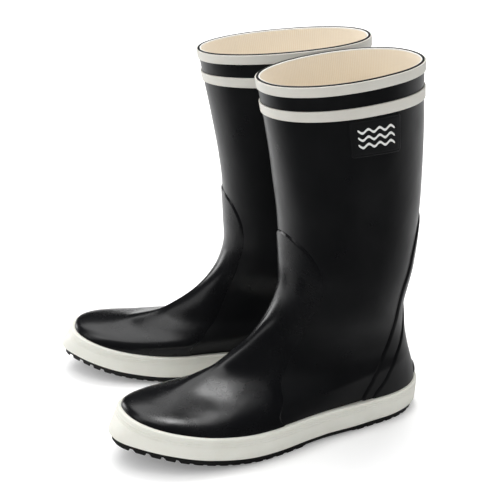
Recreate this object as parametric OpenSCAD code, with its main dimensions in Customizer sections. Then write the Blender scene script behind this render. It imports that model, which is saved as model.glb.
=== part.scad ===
// A pair of pull-on deck boots in vulcanised rubber, as separate rubber, fabric and board pieces.
// Millimetres. +Z is up, the treads stand on Z = 0 and the toes point along +X.
// The left boot is on the +Y side. The right boot is the same boot, mirrored.

/* [Boot] */
// Height of the rim above the floor
boot_height = 258; // [254:1:262]
// Length of the upper at the top of the foxing
upper_length = 221; // [219:1:223]
// Depth of the leg at the rim, front to back
rim_depth = 117; // [114:1:120]
// How much deeper the mouth of the right boot stands open
mouth_opening = 10; // [0:1:12]
// Width of the leg at the rim
rim_width = 84; // [82:1:87]
// Width of the leg halfway up
mid_leg_width = 75; // [73:1:78]
// Width of the ankle
ankle_width = 73; // [71:1:75]
// Width of the heel
heel_width = 62; // [61:1:63]
// Width of the waist of the foot
waist_width = 65; // [63:1:66]
// Width of the ball of the foot
ball_width = 80; // [78:1:82]
// How far the tip of the toe rises off the floor
toe_spring = 15; // [12:1:16]
// How far the toe curves in, towards the other boot
toe_inset = 10; // [8:1:12]
// How much lower the rim is at the front than at the back, per millimetre
rim_slope = 0.08; // [0.05:0.01:0.09]

/* [Rubber and fabric] */
// Thickness of the leg and vamp sheets
sheet_thickness = 1.5; // [1.2:0.1:1.5]
// Thickness of the overlays at the vamp and heel
overlay_thickness = 0.6; // [0.5:0.1:0.7]
// Thickness of the knitted lining
lining_thickness = 0.6; // [0.4:0.1:0.8]

/* [Foxing and sole] */
// Height of the top edge of the foxing
foxing_top = 22; // [21:0.5:23]
// Height of the bottom edge of the foxing
foxing_bottom = 5.4; // [5.2:0.1:5.8]
// How far the foxing stands out from the upper
foxing_proud = 3.5; // [3.4:0.1:3.7]
// How far the bottom of the foxing flares out at the toe
toe_flare = 6.5; // [4:0.5:7]
// Depth of the grooves in the tread
groove_depth = 2; // [1.5:0.1:2.2]
// Width of one tread bar
bar_width = 5.6; // [5:0.1:6]
// Distance from one tread bar to the next
bar_pitch = 8.4; // [8:0.1:9]

/* [Trim] */
// Height of each white band at the rim
trim_height = 7.5; // [6:0.5:8]
// Dark gap between the two white bands
trim_gap = 10; // [8:0.5:11]
// Angle that the patch on the outer side of the leg spans
badge_angle = 40; // [32:1:44]
// Height of the patch
badge_height = 26; // [22:1:28]

/* [Pair] */
// Angle that each boot is turned out by
splay = 13.4; // [12:0.2:14]
// Distance across between the middles of the two boots
pair_gap = 112; // [112:1:130]
// How far the right boot stands ahead of the left one
right_lead = 16.6; // [10:0.2:20]

/* [Hidden] */

// ---- heights that several pieces share ----
seam_top = 148;            // apex of the vamp seam at the front of the leg
join_top = 140;            // apex of the covered join between leg and inner vamp
guard_top = 156;           // top of the heel guard, which runs up the back as a narrow stay
cap_top = 89;              // top of the heel cap at the back
rim_blend = 60;            // the rim's slope fades out over this height
upper_bottom = foxing_bottom + 0.2;
sole_top = foxing_bottom - 0.4;
board_bottom = 6.8;
board_top = 8.4;
footbed_top = 13;
pivot = 100;               // point on a boot's heel line that the pair is set out from
fit_gap = 0.2;             // between flat pieces that lie on each other

// ---- offsets outwards from the outer face of the leg sheet ----
lap = 0.45;                // room for the cement under a lapped piece
cover = lap + overlay_thickness;
guard_inner = lap + 0.35;
guard_outer = guard_inner + overlay_thickness;
cap_inner = guard_outer + 0.65;
cap_outer = cap_inner + 0.5;
spur_inner = cap_outer + 0.3;
spur_outer = spur_inner + 1.6;
stiffener_outer = -sheet_thickness - 0.9;
stiffener_inner = stiffener_outer - 0.5;
sock_outer = stiffener_inner - 1;
sock_inner = sock_outer - lining_thickness;
board_edge = -sheet_thickness - 0.5;
filler_edge = board_edge - 8;
footbed_edge = sock_inner - 0.7;

// ---- the last: side profiles and half widths, each against height ----
back_line = [[0, -1.5], [25, -2.5], [50, 4.5], [80, 10], [115, 3.5], [160, -1], [205, -0.5],
    [boot_height, 3]];
front_line = [[0, upper_length], [12, upper_length], [20, upper_length - 1.5],
    [25, upper_length - 4], [28, upper_length - 10], [32, upper_length - 23.5], [36, upper_length - 38],
    [41, upper_length - 50.8], [47, upper_length - 66.2], [55, 141], [65, 126], [79, 112],
    [99, 102], [124, 101.5], [160, 103.5], [205, 110.5], [boot_height, 3 + rim_depth]];
leg_half = [[110, ankle_width / 2], [160, mid_leg_width / 2], [boot_height, rim_width / 2]];
heel_half = concat([[0, heel_width / 2], [50, heel_width / 2]], leg_half);
waist_half = concat([[0, waist_width / 2], [40, waist_width / 2], [75, ankle_width / 2]], leg_half);
ball_half = concat([[0, ball_width / 2], [40, ball_width / 2 - 1], [65, ankle_width / 2 + 2]],
    leg_half);
heel_round = [[0, 42], [50, 42], [110, 46], [boot_height, rim_depth / 2]];
toe_round = [[0, 82], [27, 82], [32, 92], [36, 106], [45, 147], [60, 147], [85, 75], [110, 52],
    [boot_height, rim_depth / 2]];
toe_power = [[0, 2.25], [27, 2.25], [32, 2], [36, 1.8], [45, 1.6], [65, 1.6], [100, 2.1], [160, 2.1]];
ridge_shift = [[0, 0], [24, 0], [45, 10.4], [70, 10.4], [120, 0], [200, 0]];

// ---- seams: angle round the boot against height, from 0 at the front to 180 at the back ----
seam_out = [[0, 86], [23, 83], [32, 77], [41, 71], [57, 64], [70, 57], [80, 49.5], [95, 46.5],
    [108, 46], [120, 43.5], [128, 38.5], [135, 32], [140.5, 25], [144.5, 16], [147, 8], [seam_top, 2]];
seam_in = [[0, 84], [23, 80], [41, 70], [57, 61], [70, 52], [85, 47], [96, 45], [113, 46],
    [127, 43], [136, 36], [142, 28], [145, 20], [147, 12], [seam_top, 5]];
join_out = [[0, 78], [23, 75], [41, 64], [57, 56], [72, 46], [82, 40], [95, 38], [106, 37],
    [115, 33], [122, 27], [130, 18], [136, 8], [join_top, 0]];
join_in = [[0, 76], [23, 72], [41, 62], [57, 53], [70, 44], [85, 39], [96, 36], [110, 36],
    [120, 32], [128, 24], [134, 14], [138, 6], [join_top, 0]];
// Half angles of the pieces that are centred on the back, or for the toe puff on the front
guard_half = [[0, 62], [20, 62], [30, 61], [40, 61], [50, 58], [67, 51], [85, 48], [105, 50], [117, 46],
    [125, 44], [135, 39], [142, 34], [149, 26], [153, 17], [guard_top, 5]];
cap_half = [[0, 57], [21, 57], [32, 53.5], [41, 51], [50, 45], [60, 36], [70, 28], [80, 23],
    [86, 16], [cap_top, 8]];
spur_half = [[foxing_top, 17], [foxing_top + 8, 15]];
heel_stiffener_half = [[0, 60], [30, 56], [56, 36]];
toe_puff_half = [[0, 50], [35, 40]];
instep_half = [[65, 22], [90, 26], [118, 14]];

// ---- smooth curve through keys [[height, value], ...] ----
function secant(k, i) = (k[i + 1][1] - k[i][1]) / (k[i + 1][0] - k[i][0]);
function slope(k, i) =
    i == 0 ? secant(k, 0)
    : i == len(k) - 1 ? secant(k, i - 1)
    : let (a = k[i][0] - k[i - 1][0], b = k[i + 1][0] - k[i][0])
        (secant(k, i - 1) * b + secant(k, i) * a) / (a + b);
function blend(k, i, h, t) =
    (2 * t ^ 3 - 3 * t ^ 2 + 1) * k[i][1] + (t ^ 3 - 2 * t ^ 2 + t) * h * slope(k, i)
    + (3 * t ^ 2 - 2 * t ^ 3) * k[i + 1][1] + (t ^ 3 - t ^ 2) * h * slope(k, i + 1);
function curve(k, z) =
    let (s = min(max(z, k[0][0]), k[len(k) - 1][0]),
        below = len([for (p = k) if (p[0] <= s) 1]),
        i = min(max(below - 1, 0), len(k) - 2),
        h = k[i + 1][0] - k[i][0])
        blend(k, i, h, (s - k[i][0]) / h);
function ramp(a, b, x) = let (t = min(max((x - a) / (b - a), 0), 1)) t * t * (3 - 2 * t);

// ---- stretches along the foot: [start, end] from the back of the heel ----
heel_to_waist = [25, 85];
waist_to_ball = [80, 150];
toe_spring_run = [125, 220];
toe_flare_run = [125, 212];
inset_start = 70;
ridge_run = [60, 120];

// ---- the outer surface of the leg sheet ----
function along(run, x) = ramp(run[0], run[1], x);
function lift(x) =
    toe_spring * min(max((x - toe_spring_run[0]) / (toe_spring_run[1] - toe_spring_run[0]), 0), 1.2) ^ 2;
// The mouth opens to the back, and to both sides but more to the outer one
$mouth = 0;
mouth_start = 150;
function ring(z) =
    let (more = $mouth * ramp(mouth_start, boot_height, z), wider = 0.55 * more)
        [curve(back_line, z) - more, curve(front_line, z), curve(heel_half, z) + wider,
        curve(waist_half, z) + wider, curve(ball_half, z) + wider,
        curve(heel_round, z) + more / 2, curve(toe_round, z) + more / 2, curve(toe_power, z),
        curve(ridge_shift, z), 1 - ramp(50, 110, z),
        rim_slope * ramp(boot_height - rim_blend, boot_height, z), z, 0.4 * more];
// Below a power of 2 the tip would be a sharp ridge, so it is rounded off over tip_round
tip_round = 4;
function rounding(d, r, p) = d >= r ? 1
    : max(0, 1 - (1 - d / r) ^ p) ^ (1 / p)
        * ((d + tip_round * (1 - d / r)) / max(d, 0.01)) ^ max(0, 1 / p - 0.5);
function half_width(r, x) =
    (r[2] + (r[3] - r[2]) * along(heel_to_waist, x) + (r[4] - r[3]) * along(waist_to_ball, x))
    * rounding(x - r[0], r[5], 2.2) * rounding(r[1] - x, r[6], r[7]);
function middle(r, x) =
    r[12] - toe_inset * (max(x - inset_start, 0) / 155) ^ 2 * r[9] - r[8] * along(ridge_run, x);
function base_point(r, t) =
    let (x = (r[0] + r[1]) / 2 + (r[1] - r[0]) / 2 * cos(t),
        side = sin(t) >= 0 ? 1 : -1)
        [x, middle(r, x) + side * half_width(r, x), r[11] + lift(x) - r[10] * (x - 60)];
function normal(below, above, t) =
    let (n = cross(base_point(below, t + 1.5) + base_point(above, t + 1.5)
            - base_point(below, t - 1.5) - base_point(above, t - 1.5),
            base_point(above, t) - base_point(below, t)))
        n / norm(n);
function surface_row(z, angles, offset) =
    let (r = ring(z), below = ring(z - 0.5), above = ring(z + 0.5))
        [for (t = angles) base_point(r, t) + normal(below, above, t) * offset];

// ---- closed sheets that follow the surface between two offsets ----
function spread(a, b, n) = [for (k = [0:n]) a + (b - a) * k / n];
function quad(a, b, c, d) = [[a, b, c], [a, c, d]];

// rows: heights. angles: one list of angles for each row, all of one length. From row
// `closed` upwards the sheet goes right round, so its last column is its first.
module sheet(rows, angles, inner, outer, closed = 1000) {
    m = len(rows);
    w = len(angles[0]);
    last = w - 1;
    points = [for (offset = [outer, inner]) for (j = [0:m - 1])
        each surface_row(rows[j], angles[j], offset)];
    function id(s, j, k) = s * m * w + j * w + (j >= closed && k == last ? 0 : k);
    faces = [
        for (j = [0:m - 2]) for (k = [0:last - 1])
            each quad(id(0, j, k), id(0, j + 1, k), id(0, j + 1, k + 1), id(0, j, k + 1)),
        for (j = [0:m - 2]) for (k = [0:last - 1])
            each quad(id(1, j, k), id(1, j, k + 1), id(1, j + 1, k + 1), id(1, j + 1, k)),
        for (k = [0:last - 1])
            each quad(id(0, 0, k), id(0, 0, k + 1), id(1, 0, k + 1), id(1, 0, k)),
        for (k = [0:last - 1])
            each quad(id(0, m - 1, k + 1), id(0, m - 1, k), id(1, m - 1, k), id(1, m - 1, k + 1)),
        for (j = [0:m - 2]) if (j < closed) each concat(
            quad(id(0, j + 1, 0), id(0, j, 0), id(1, j, 0), id(1, j + 1, 0)),
            quad(id(1, j, last), id(0, j, last), id(0, j + 1, last), id(1, j + 1, last)))
    ];
    polyhedron(points, faces);
}

// A sheet across the front, between a seam on each side
module front_sheet(rows, seam_a, seam_b, columns, inner, outer) {
    angles = [for (z = rows) spread(-curve(seam_b, z), curve(seam_a, z), columns)];
    sheet(rows, angles, inner, outer);
}

// A sheet round the back, the same half angle on each side
module back_sheet(rows, half, columns, inner, outer) {
    angles = [for (z = rows) spread(180 - curve(half, z), 180 + curve(half, z), columns)];
    sheet(rows, angles, inner, outer);
}

// A sheet that goes right round
module tube(rows, columns, inner, outer) {
    sheet(rows, [for (z = rows) spread(0, 360, columns)], inner, outer, 0);
}

// A solid that runs along X through stations [x, left y, right y, bottom, top, rise]
module slab(stations) {
    n = len(stations);
    points = [for (s = stations) for (p = [[s[1], s[4]], [s[1], s[3]], [s[2], s[3]], [s[2], s[4]]])
        [s[0], p[0], p[1] + s[5]]];
    faces = [
        each quad(3, 2, 1, 0),
        for (i = [0:n - 2]) for (c = [0:3])
            each quad(4 * i + c, 4 * i + (c + 1) % 4, 4 * (i + 1) + (c + 1) % 4, 4 * (i + 1) + c),
        each quad(4 * n - 4, 4 * n - 3, 4 * n - 2, 4 * n - 1)
    ];
    polyhedron(points, faces);
}

// A flat layer inside the foot, cut to the outline of the last
module layer(z0, z1, offset, columns = 16) {
    angles = spread(175, 5, columns);
    outer_side = surface_row(8, angles, offset);
    inner_side = surface_row(8, -angles, offset);
    slab([for (k = [0:columns])
        let (x = outer_side[k][0])
            [x, outer_side[k][1], inner_side[k][1], z0, z1, lift(x)]]);
}

// ---- outline of the foxing and the sole ----
// The foxing steps outwards over the heel cap at the back and over the vamp at the front
over_cap = [58, 68];
over_vamp = [102, 112];
cap_room = cap_outer + 0.4;
vamp_room = cover + 0.7;
heel_thickening = 0.9;
thickening_run = [60, 90];
top_lip = 0.65;            // least thickness of the foxing's top edge
function foxing_inner(x) =
    lap + (cap_room - lap) * (1 - along(over_cap, x)) + (vamp_room - lap) * along(over_vamp, x);
function foxing_face(x) = foxing_proud + heel_thickening * (1 - along(thickening_run, x));
// Outer face: height, share of the flare, how far in. Inner face: heights only
foxing_outside = [[foxing_bottom, 1, 0], [foxing_bottom + 6, 0.5, 0], [foxing_top - 5, 0.08, 0],
    [foxing_top - 0.8, 0, 0], [foxing_top, 0, 0.3]];
foxing_inside = [foxing_top, foxing_top - 4, foxing_bottom];
function three_rings(z) = [ring(z), ring(z - 0.5), ring(z + 0.5)];
foxing_rings = concat(
    [for (p = foxing_outside) concat(three_rings(p[0]), [p])],
    [for (z = foxing_inside) concat(three_rings(z), [[]])]);
// The flare grows towards the tip, and only where the outline faces forward
function plan_point(g, t, offset, share = 0) =
    let (n = normal(g[1], g[2], t), out = [n[0], n[1], 0] / norm([n[0], n[1]]),
        flare = toe_flare * along(toe_flare_run, base_point(g[0], t)[0]) * max(0, out[0]) ^ 5)
        base_point(g[0], t) + out * (offset + share * flare);
// The inner face keeps clear of the vamp where the vamp leans in under the top edge
function foxing_point(g, t) =
    let (x = base_point(g[0], t)[0], p = g[3], n = normal(g[1], g[2], t),
        clear = min(foxing_inner(x) / norm([n[0], n[1]]), foxing_face(x) - top_lip))
        p == [] ? plan_point(g, t, clear) : plan_point(g, t, foxing_face(x) - p[2], p[1]);
foxing_steps = 48;
foxing_loop = [for (k = [0:foxing_steps - 1])
    [for (g = foxing_rings) foxing_point(g, 360 * k / foxing_steps)]];

// ---- where each boot stands ----
function placed(p, lead) = [cos(splay) * (p[0] - pivot) - sin(splay) * p[1] + lead];
spur_row = surface_row(27, [180], spur_outer);
heel_x = min([for (p = concat([for (f = foxing_loop) each f], spur_row)) placed(p, 0)[0]]);
toe_x = max([for (f = foxing_loop) for (p = f) placed(p, right_lead)[0]]);
pair_x = -(heel_x + toe_x) / 2;
module left_boot() {
    translate([pair_x, pair_gap / 2, 0]) rotate(splay) translate([-pivot, 0, 0]) children();
}
module right_boot() {
    $mouth = mouth_opening;
    translate([pair_x + right_lead, -pair_gap / 2, 0]) rotate(-splay)
        translate([-pivot, 0, 0]) mirror([0, 1, 0]) children();
}

// ---- upper ----
join_rows = [upper_bottom, 12, 20, 26, 32, 38, 45, 54, 65, 78, 92, 106, 120, 131, 137];
tube_rows = concat([join_top], spread(join_top + 24, boot_height, 4));
seam_rows = concat(join_rows, [144.5, seam_top]);
around = 28;

// The leg and quarters, one sheet: open at the front below join_top, a tube above it
module leg() {
    rows = concat(join_rows, tube_rows);
    angles = [for (z = rows) z >= join_top
        ? spread(0, 360, around) : spread(curve(join_out, z), 360 - curve(join_in, z), around)];
    color("#1b1c1e") sheet(rows, angles, -sheet_thickness, 0, len(join_rows));
}
module inner_vamp() {
    color("#202124") front_sheet(join_rows, join_out, join_in, 22, -sheet_thickness, 0);
}

// The vamp has the inner vamp's columns, and two more on each side that lap over the leg
module vamp() {
    function row(z) =
        let (a = curve(seam_out, z), b = curve(seam_in, z),
            c = max(curve(join_out, z), 0.7 * a), d = max(curve(join_in, z), 0.7 * b))
            concat([-b, -(b + d) / 2], spread(-d, c, 22), [(a + c) / 2, a]);
    color("#17181a") sheet(seam_rows, [for (z = seam_rows) row(z)], lap, cover);
}
module heel_guard() {
    rows = [upper_bottom, 20, 26, 32, 38, 45, 54, 65, 78, 92, 106, 120, 134, 147, guard_top];
    color("#18191b") back_sheet(rows, guard_half, 12, guard_inner, guard_outer);
}
module heel_cap() {
    rows = [upper_bottom, 20, 26, 32, 38, 45, 54, 65, 78, cap_top];
    color("#141517") back_sheet(rows, cap_half, 12, cap_inner, cap_outer);
}
module kick_off_spur() {
    rows = [foxing_top + 1.5, foxing_top + 5, foxing_top + 8];
    color("#141517") back_sheet(rows, spur_half, 6, spur_inner, spur_outer);
}

// ---- white bands at the rim ----
module top_trim() {
    color("#dedfd8") tube([boot_height - trim_height, boot_height], around, lap, cover);
}
module collar_stripe() {
    top = boot_height - trim_height - trim_gap;
    color("#dedfd8") tube([top - trim_height, top], around, lap, cover);
}

// ---- lining and stiffeners ----
module leg_lining() {
    color("#e2d3b8") tube(tube_rows, around, -sheet_thickness - lining_thickness - 0.1,
        -sheet_thickness - 0.1);
}
module foot_lining() {
    rows = [board_top + 2 * fit_gap, 20, 26, 32, 38, 45, 54, 65, 78, 92, 106, 120, join_top - 0.5];
    color("#d8c8ac") tube(rows, 24, sock_inner, sock_outer);
}
module toe_puff() {
    rows = [board_top + fit_gap, 16, 22, 26, 29, 31, 33.5];
    color("#3a3a3c") front_sheet(rows, toe_puff_half, toe_puff_half, 14,
        stiffener_inner, stiffener_outer);
}
module instep_stiffener() {
    rows = [65, 78, 92, 106, 118];
    color("#3a3a3c") front_sheet(rows, instep_half, instep_half, 10,
        stiffener_inner, stiffener_outer);
}
module heel_stiffener() {
    rows = [board_top + fit_gap, 20, 32, 45, 56];
    color("#3a3a3c") back_sheet(rows, heel_stiffener_half, 14, stiffener_inner, stiffener_outer);
}

// ---- bottom ----
module insole_board() {
    color("#9a7f5d") layer(board_bottom, board_top, board_edge);
}
module bottom_filler() {
    color("#6d6258") layer(sole_top + fit_gap, board_bottom - fit_gap, filler_edge);
}
module footbed() {
    color("#cdbb9c") layer(board_top + fit_gap, footbed_top, footbed_edge);
}

// Tread bars: each rises and falls over a short draft, [x, bottom]
draft = 0.3;
heel_bars = [3.4, 7];      // start of the first bar, number of bars
sole_start = 106;
arch_stations = [70, 80, 90, 100];
arch_bottom = 2.6;
heel_lug = 5;              // length of the tread's solid piece at the back of the heel
toe_lug = 5;
setback = 2.4;             // how far the outsole's edge lies inside the foxing
function tread(bars) = [
    for (i = [0:bars[1] - 1])
        for (p = [[0, groove_depth], [draft, 0], [bar_width, 0], [bar_width + draft, groove_depth]])
            [bars[0] + i * bar_pitch + p[0], p[1]]];
module outsole() {
    angles = spread(179, 1, 60);
    rings = three_rings(foxing_bottom);
    function base_x(t) = base_point(rings[0], t)[0];
    function edge(t) = plan_point(rings, t, foxing_face(base_x(t)) - setback, 1);
    outer_side = [for (t = angles) let (p = edge(t)) [p[0], p[1]]];
    inner_side = [for (t = angles) let (p = edge(-t)) [p[0], p[1]]];
    rise = [for (t = angles) [edge(t)[0], lift(base_x(t))]];
    first = outer_side[0][0] + 0.1;
    last = outer_side[len(angles) - 1][0] - 0.1;
    room = last - toe_lug - sole_start - bar_width - 3 * draft;
    sole_bars = [sole_start, floor(room / bar_pitch) + 1];
    profile = concat(
        [for (d = [0, 0.9, 2.6, heel_lug]) [first + d, 0]],
        [[first + heel_lug + draft, groove_depth]],
        tread(heel_bars), [for (x = arch_stations) [x, arch_bottom]],
        tread(sole_bars), [[last - toe_lug - draft, groove_depth]],
        [for (d = [toe_lug, 2.6, 0.9, 0]) [last - d, 0]]);
    color("#161616") slab([for (p = profile)
        [p[0], lookup(p[0], outer_side), lookup(p[0], inner_side), p[1], sole_top,
            lookup(p[0], rise)]]);
}
module foxing() {
    n = len(foxing_loop[0]);
    function id(k, c) = (k % foxing_steps) * n + c % n;
    faces = [for (k = [0:foxing_steps - 1]) for (c = [0:n - 1])
        each quad(id(k, c), id(k, c + 1), id(k + 1, c + 1), id(k + 1, c))];
    color("#dedfd8") polyhedron([for (f = foxing_loop) each f], faces);
}

// ---- patch on the outer side of the leg ----
badge_middle = [88, 219];  // angle round the boot, height
badge_face = lap + 0.5;
print_pitch = 5;
print_half = 0.9;
print_margin = 5;
module patch(angle, height, half_angle, half_height, columns, inner, outer) {
    rows = [height - half_height, height + half_height];
    angles = spread(angle - half_angle, angle + half_angle, columns);
    sheet(rows, [angles, angles], inner, outer);
}
module side_badge() {
    color("#232427") patch(badge_middle[0], badge_middle[1], badge_angle / 2, badge_height / 2, 8,
        lap, badge_face);
}
module badge_print() {
    color("#dedfd8") for (i = [-1:1])
        patch(badge_middle[0], badge_middle[1] + print_pitch * i, badge_angle / 2 - print_margin,
            print_half, 6, badge_face + 0.1, badge_face + 0.35);
}

left_boot() leg();  // left_leg
left_boot() inner_vamp();  // left_inner_vamp
left_boot() vamp();  // left_vamp
left_boot() heel_guard();  // left_heel_guard
left_boot() heel_cap();  // left_heel_cap
left_boot() kick_off_spur();  // left_kick_off_spur
left_boot() top_trim();  // left_top_trim
left_boot() collar_stripe();  // left_collar_stripe
left_boot() leg_lining();  // left_leg_lining
left_boot() foot_lining();  // left_foot_lining
left_boot() toe_puff();  // left_toe_puff
left_boot() instep_stiffener();  // left_instep_stiffener
left_boot() heel_stiffener();  // left_heel_stiffener
left_boot() insole_board();  // left_insole_board
left_boot() footbed();  // left_footbed
left_boot() bottom_filler();  // left_bottom_filler
left_boot() outsole();  // left_outsole
left_boot() foxing();  // left_foxing
left_boot() side_badge();  // left_side_badge
left_boot() badge_print();  // left_badge_print
right_boot() leg();  // right_leg
right_boot() inner_vamp();  // right_inner_vamp
right_boot() vamp();  // right_vamp
right_boot() heel_guard();  // right_heel_guard
right_boot() heel_cap();  // right_heel_cap
right_boot() kick_off_spur();  // right_kick_off_spur
right_boot() top_trim();  // right_top_trim
right_boot() collar_stripe();  // right_collar_stripe
right_boot() leg_lining();  // right_leg_lining
right_boot() foot_lining();  // right_foot_lining
right_boot() toe_puff();  // right_toe_puff
right_boot() instep_stiffener();  // right_instep_stiffener
right_boot() heel_stiffener();  // right_heel_stiffener
right_boot() insole_board();  // right_insole_board
right_boot() footbed();  // right_footbed
right_boot() bottom_filler();  // right_bottom_filler
right_boot() outsole();  // right_outsole
right_boot() foxing();  // right_foxing
right_boot() side_badge();  // right_side_badge
right_boot() badge_print();  // right_badge_print
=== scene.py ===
import math

import bpy
import numpy as np
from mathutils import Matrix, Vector


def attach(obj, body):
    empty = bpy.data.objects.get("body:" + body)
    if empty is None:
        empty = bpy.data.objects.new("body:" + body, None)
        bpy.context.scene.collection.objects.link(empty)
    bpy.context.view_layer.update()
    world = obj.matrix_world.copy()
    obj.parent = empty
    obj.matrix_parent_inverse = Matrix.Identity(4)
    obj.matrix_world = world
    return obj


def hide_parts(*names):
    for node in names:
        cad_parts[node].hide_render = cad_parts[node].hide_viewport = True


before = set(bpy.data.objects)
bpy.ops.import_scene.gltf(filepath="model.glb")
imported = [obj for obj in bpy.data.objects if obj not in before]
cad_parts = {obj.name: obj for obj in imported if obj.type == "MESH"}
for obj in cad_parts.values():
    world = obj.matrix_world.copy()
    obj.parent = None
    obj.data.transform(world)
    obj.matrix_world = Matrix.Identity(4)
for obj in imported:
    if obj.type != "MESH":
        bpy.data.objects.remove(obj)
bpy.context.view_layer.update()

# ---------------------------------------------------------------- sizes, in millimetres
BOOT_HEIGHT = 258.0
UPPER_LENGTH = 221.0
RIM_DEPTH, RIM_BACK = 117.0, 3.0
RIM_HALF, MID_LEG_HALF, ANKLE_HALF = 42.0, 37.5, 36.5
HEEL_HALF, WAIST_HALF, BALL_HALF = 31.0, 32.5, 40.0
TOE_SPRING, SPRING_START, SPRING_RUN = 15.0, 125.0, 95.0
TOE_INSET, INSET_START, INSET_RUN = 10.0, 70.0, 155.0
RIM_SLOPE, SLOPE_RUN, SLOPE_CENTRE = 0.08, 60.0, 60.0
# Thickness of the leg sheet, and how far the sheets laid on it stand out from it.
SHEET = 1.5
COVER, GUARD_OUT, CAP_OUT = 1.05, 1.4, 2.55
FOXING_TOP, FOXING_BOTTOM = 22.0, 5.4
FOXING_PROUD, FOXING_HEEL_MORE, FOXING_SINK = 3.5, 0.9, 0.4
TOE_FLARE, FLARE_POWER = 6.5, 5
UPPER_BOTTOM, SOLE_TOP, BOARD_TOP, FOOTBED_TOP = 5.6, 5.0, 8.4, 13.0
GROOVE_DEPTH, BAR_WIDTH, BAR_PITCH = 2.0, 5.6, 8.4
SOLE_SETBACK = 2.4
TRIM_HEIGHT, TRIM_GAP = 7.5, 10.0
SEAM_TOP, JOIN_TOP, GUARD_TOP, CAP_TOP = 148.0, 140.0, 156.0, 89.0
SPLAY, PAIR_X, PAIR_HALF_GAP, RIGHT_LEAD, PIVOT = 13.4, -20.5932, 56.0, 16.6, 100.0

# ---------------------------------------------------------------- the last
# Side profile: how far forward the back and the front line are at each height.
BACK = [(0, -1.5), (25, -2.5), (50, 4.5), (80, 10), (115, 3.5), (160, -1), (205, -0.5),
        (BOOT_HEIGHT, RIM_BACK)]
FRONT = [(0, UPPER_LENGTH), (12, UPPER_LENGTH), (20, 219.5), (25, 217), (28, 211),
         (32, 197.5), (36, 183), (41, 170.2), (47, 154.8), (55, 141), (65, 126), (79, 112),
         (99, 102), (124, 101.5), (160, 103.5), (205, 110.5),
         (BOOT_HEIGHT, RIM_BACK + RIM_DEPTH)]
# Half widths at heel, waist and ball; higher up all three are the leg's.
LEG = [(110, ANKLE_HALF), (160, MID_LEG_HALF), (BOOT_HEIGHT, RIM_HALF)]
HEEL = [(0, HEEL_HALF), (50, HEEL_HALF)] + LEG
WAIST = [(0, WAIST_HALF), (40, WAIST_HALF), (75, ANKLE_HALF)] + LEG
BALL = [(0, BALL_HALF), (40, BALL_HALF - 1), (65, ANKLE_HALF + 2)] + LEG
# Where along the foot one half width passes into the next.
HEEL_TO_WAIST, WAIST_TO_BALL = (25, 85), (80, 150)
# How the outline is rounded at both ends: radius, and power of the rounding curve.
HEEL_ROUND = [(0, 42), (50, 42), (110, 46), (BOOT_HEIGHT, RIM_DEPTH / 2)]
HEEL_POWER = 2.2
TOE_ROUND = [(0, 82), (27, 82), (32, 92), (36, 106), (45, 147), (60, 147), (85, 75), (110, 52),
             (BOOT_HEIGHT, RIM_DEPTH / 2)]
TOE_POWER = [(0, 2.25), (27, 2.25), (32, 2), (36, 1.8), (45, 1.6), (65, 1.6), (100, 2.1),
             (160, 2.1)]
TIP_ROUND = 4.0
# The instep's ridge lies this far to the inner side.
RIDGE = [(0, 0), (24, 0), (45, 10.4), (70, 10.4), (120, 0), (200, 0)]
# The right boot's mouth stands a little wider open than the left one's.
MOUTH_OPENING, MOUTH_START, MOUTH_WIDER, MOUTH_SHIFT = 10.0, 150.0, 0.55, 0.4
mouth = {"left": 0.0, "right": MOUTH_OPENING, "now": 0.0}
# Seams as angles from the front line (from the back line for GUARD and CAP) at each height.
SEAM_OUT = [(0, 86), (23, 83), (32, 77), (41, 71), (57, 64), (70, 57), (80, 49.5), (95, 46.5),
            (108, 46), (120, 43.5), (128, 38.5), (135, 32), (140.5, 25), (144.5, 16),
            (147, 8), (148, 2)]
SEAM_IN = [(0, 84), (23, 80), (41, 70), (57, 61), (70, 52), (85, 47), (96, 45), (113, 46),
           (127, 43), (136, 36), (142, 28), (145, 20), (147, 12), (148, 5)]
JOIN_OUT = [(0, 78), (23, 75), (41, 64), (57, 56), (72, 46), (82, 40), (95, 38), (106, 37),
            (115, 33), (122, 27), (130, 18), (136, 8), (140, 0)]
JOIN_IN = [(0, 76), (23, 72), (41, 62), (57, 53), (70, 44), (85, 39), (96, 36), (110, 36),
           (120, 32), (128, 24), (134, 14), (138, 6), (140, 0)]
GUARD_HALF = [(0, 62), (20, 62), (30, 61), (40, 61), (50, 58), (67, 51), (85, 48), (105, 50),
              (117, 46), (125, 44), (135, 39), (142, 34), (149, 26), (153, 17), (156, 5)]
CAP_HALF = [(0, 57), (21, 57), (32, 53.5), (41, 51), (50, 45), (60, 36), (70, 28), (80, 23),
            (86, 16), (89, 8)]


def curve(keys, z):
    """Smooth curve through keys at heights z, held level past both ends."""
    k = np.array(keys, float)
    h = np.diff(k[:, 0])
    secant = np.diff(k[:, 1]) / h
    slope = np.empty(len(k))
    slope[0], slope[-1] = secant[0], secant[-1]
    slope[1:-1] = (secant[:-1] * h[1:] + secant[1:] * h[:-1]) / (h[:-1] + h[1:])
    s = np.clip(np.asarray(z, float), k[0, 0], k[-1, 0])
    i = np.clip(np.searchsorted(k[:, 0], s, side="right") - 1, 0, len(h) - 1)
    t = (s - k[i, 0]) / h[i]
    return ((2 * t**3 - 3 * t**2 + 1) * k[i, 1] + (t**3 - 2 * t**2 + t) * h[i] * slope[i]
            + (3 * t**2 - 2 * t**3) * k[i + 1, 1] + (t**3 - t**2) * h[i] * slope[i + 1])


def ramp(a, b, x):
    """0 up to a, 1 from b on, smooth in between."""
    t = np.clip((np.asarray(x, float) - a) / (b - a), 0, 1)
    return t * t * (3 - 2 * t)


def lift(x):
    """How far the toe's spring lifts the sole at length x."""
    run = np.clip((np.asarray(x, float) - SPRING_START) / SPRING_RUN, 0, 1.2)
    return TOE_SPRING * run ** 2


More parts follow.
